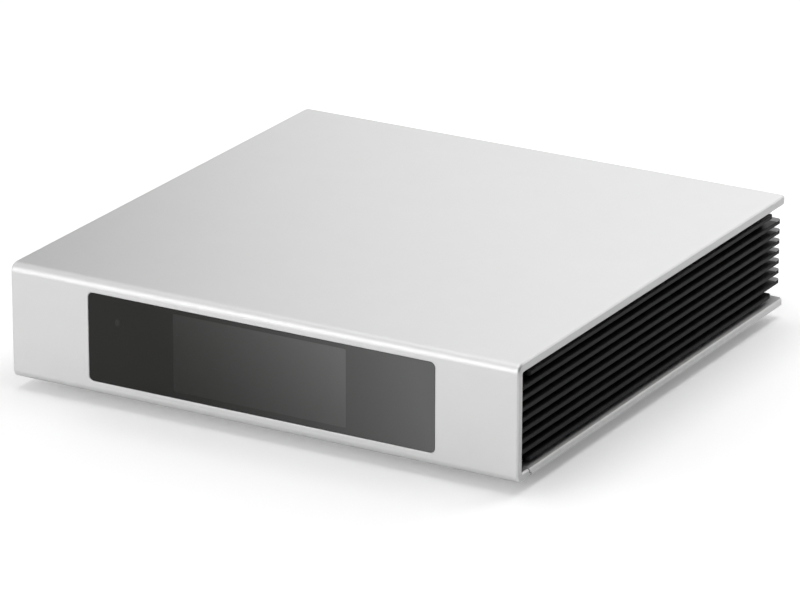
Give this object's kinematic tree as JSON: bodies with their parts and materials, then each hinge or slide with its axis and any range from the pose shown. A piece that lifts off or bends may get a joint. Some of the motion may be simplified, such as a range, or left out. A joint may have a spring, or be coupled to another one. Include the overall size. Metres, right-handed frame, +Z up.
{
  "type": "network music streamer",
  "caption": "Low square fanless network music streamer: silver wrapped shell, dark front display window, black finned sides, and sockets, fuse drawer and rocker switch on a recessed rear panel.",
  "frame": {"origin": "on the surface the object stands on, under the middle of the case", "axes": "+Z up; the display window faces -Y; +X is the side at the picture's right; sockets face +Y"},
  "size_m": [0.36, 0.36, 0.0837],
  "materials": {
    "shell": "fine bead-blasted, clear anodised",
    "floor_plate": "fine bead-blasted, clear anodised",
    "heatsink": "black anodised",
    "rear_panel": "black anodised",
    "window": "smoked, polished",
    "screen": "dark, switched off",
    "black_plastic": "moulded",
    "rocker": "moulded, polished",
    "receiver": "dark filter resin",
    "fuse": "glass tube with nickelled caps",
    "circuit_board": "solder mask",
    "bar": "mill finish",
    "shield": "nickelled sheet",
    "contact": "gold plated",
    "balanced": "satin nickel",
    "screw": "blackened",
    "processor": "moulded",
    "capacitor": "sleeved",
    "transformer": "wound and taped",
    "plated_steel": "zinc plated",
    "lead": "insulated",
    "ribbon": "flat ribbon",
    "foot": "black anodised, turned",
    "pad": "moulded"
  },
  "bodies": {
    "chassis": {"wrap_shell": "shell", "bottom_plate": "floor_plate", "right_heatsink": "heatsink", "left_heatsink": "heatsink", "rear_panel": "rear_panel", "window_glass": "window", "display_module": "screen", "display_frame": "black_plastic", "mains_inlet": "black_plastic", "switch_housing": "black_plastic", "optical_socket": "black_plastic", "trigger_socket": "black_plastic", "coax_socket": "black_plastic", "remote_receiver": "receiver", "display_board": "circuit_board", "main_board": "circuit_board", "output_board": "circuit_board", "power_board": "circuit_board", "right_rail": "bar", "left_rail": "bar", "right_post": "bar", "left_post": "bar", "heat_spreader": "bar", "lan_socket": "shield", "usb_socket": "shield", "link_socket": "shield", "line_sockets": "contact", "antenna_sockets": "contact", "socket_nuts": "contact", "right_balanced_socket": "balanced", "left_balanced_socket": "balanced", "floor_screws": "screw", "rail_screws": "screw", "panel_screws": "screw", "display_screws": "screw", "board_screws": "screw", "foot_screws": "screw", "transformer_bolt": "screw", "board_spacers": "screw", "processor_module": "processor", "supply_capacitors": "capacitor", "power_transformer": "transformer", "transformer_clamp": "plated_steel", "partition_wall": "plated_steel", "mains_leads": "lead", "transformer_leads": "lead", "supply_leads": "lead", "display_ribbon": "ribbon", "front_left_foot": "foot", "front_right_foot": "foot", "rear_left_foot": "foot", "rear_right_foot": "foot", "foot_pads": "pad"},
    "power_rocker": {"power_rocker": "rocker"},
    "fuse_drawer": {"fuse_drawer": "black_plastic", "fuse": "fuse"},
    "optical_shutter": {"optical_shutter": "black_plastic"}
  },
  "joints": [
    {"name": "power_rocker_tilt", "type": "hinge", "parent": "chassis", "child": "power_rocker", "pos_m": [-0.08709, 0.1688, 0.0455], "axis": [-1, 0, 0], "range_deg": [0, 18]},
    {"name": "fuse_drawer_slide", "type": "slide", "parent": "chassis", "child": "fuse_drawer", "axis": [0, 1, 0], "range_m": [0, 0.014]},
    {"name": "optical_shutter_swing", "type": "hinge", "parent": "chassis", "child": "optical_shutter", "pos_m": [0.03721, 0.1694, 0.033], "axis": [-1, 0, 0], "range_deg": [0, 85], "stiffness_Nm_per_rad": 0.0002, "springref_deg": -17.19}
  ]
}
